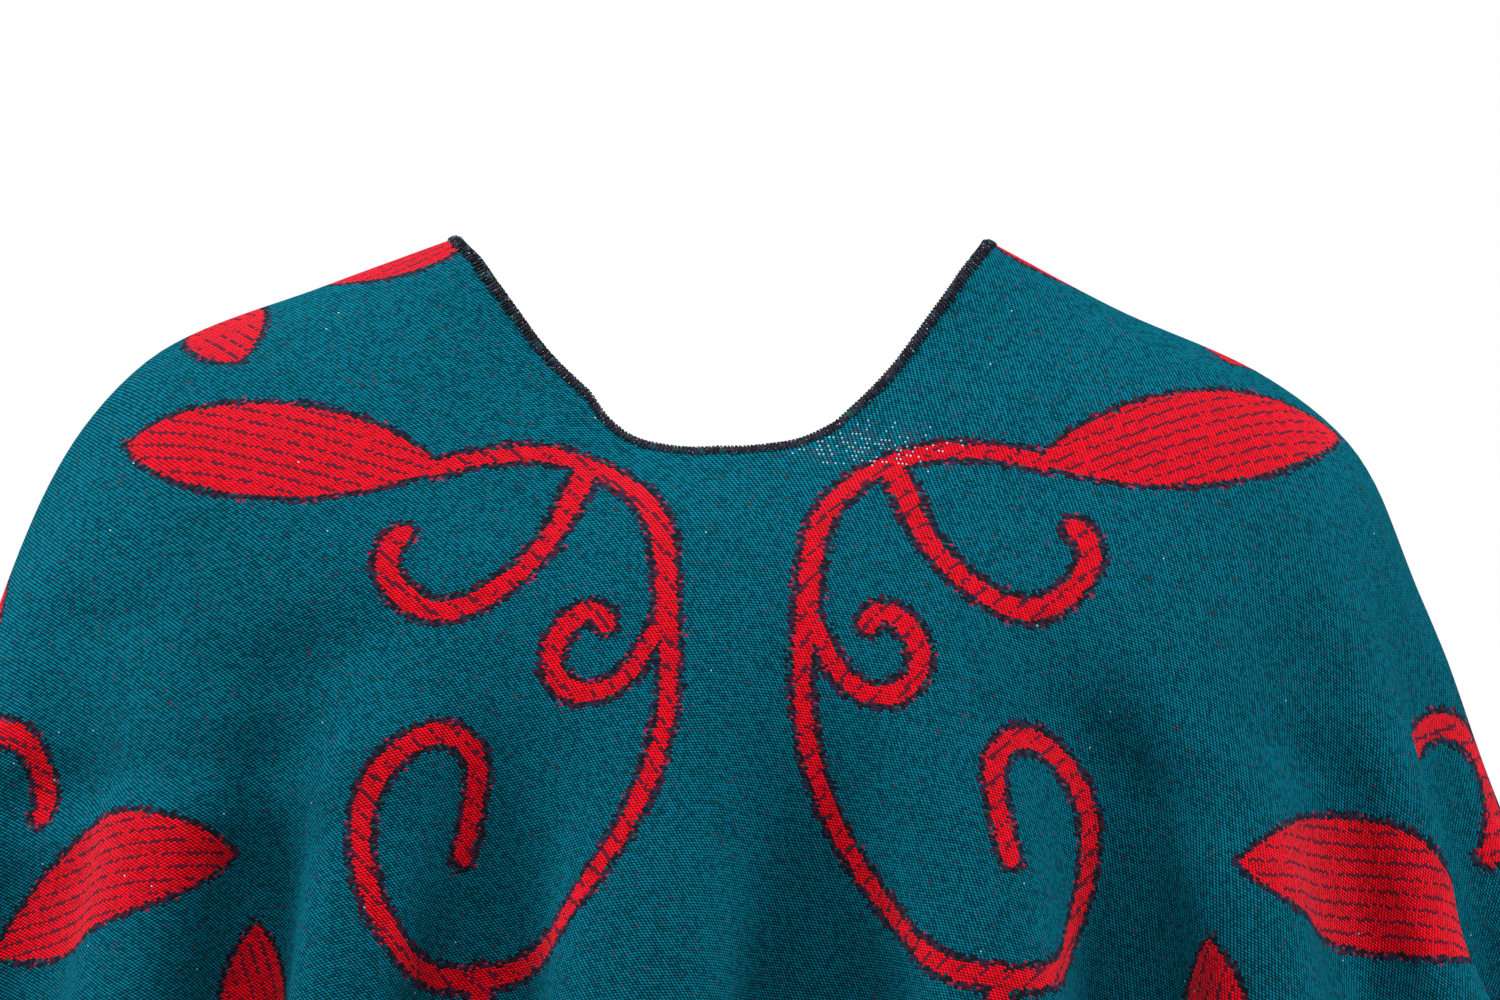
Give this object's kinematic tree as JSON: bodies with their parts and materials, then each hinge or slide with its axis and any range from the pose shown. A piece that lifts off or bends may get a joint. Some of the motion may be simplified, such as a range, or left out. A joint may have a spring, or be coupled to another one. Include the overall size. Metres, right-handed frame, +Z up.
{
  "type": "poncho",
  "caption": "Pull-over poncho in thick woven cloth with a scrolling leaf pattern, worn shape, open neck and hem.",
  "frame": {"origin": "midway between the two points where the neck edge crosses the shoulders, where the wearer's shoulders hold it up", "axes": "+X to the wearer's right, +Y to the wearer's front, +Z up"},
  "size_m": [0.843, 0.5071, 0.6499],
  "materials": {
    "woven_cloth": "matt brushed double weave, teal with scrolling leaves in red, and the colours reversed on the inside",
    "overlock_stitches": "matt dark thread in close overlock loops"
  },
  "bodies": {
    "root": {"cloth": "woven_cloth", "neck_edging": "overlock_stitches", "hem_edging": "overlock_stitches"}
  },
  "joints": []
}
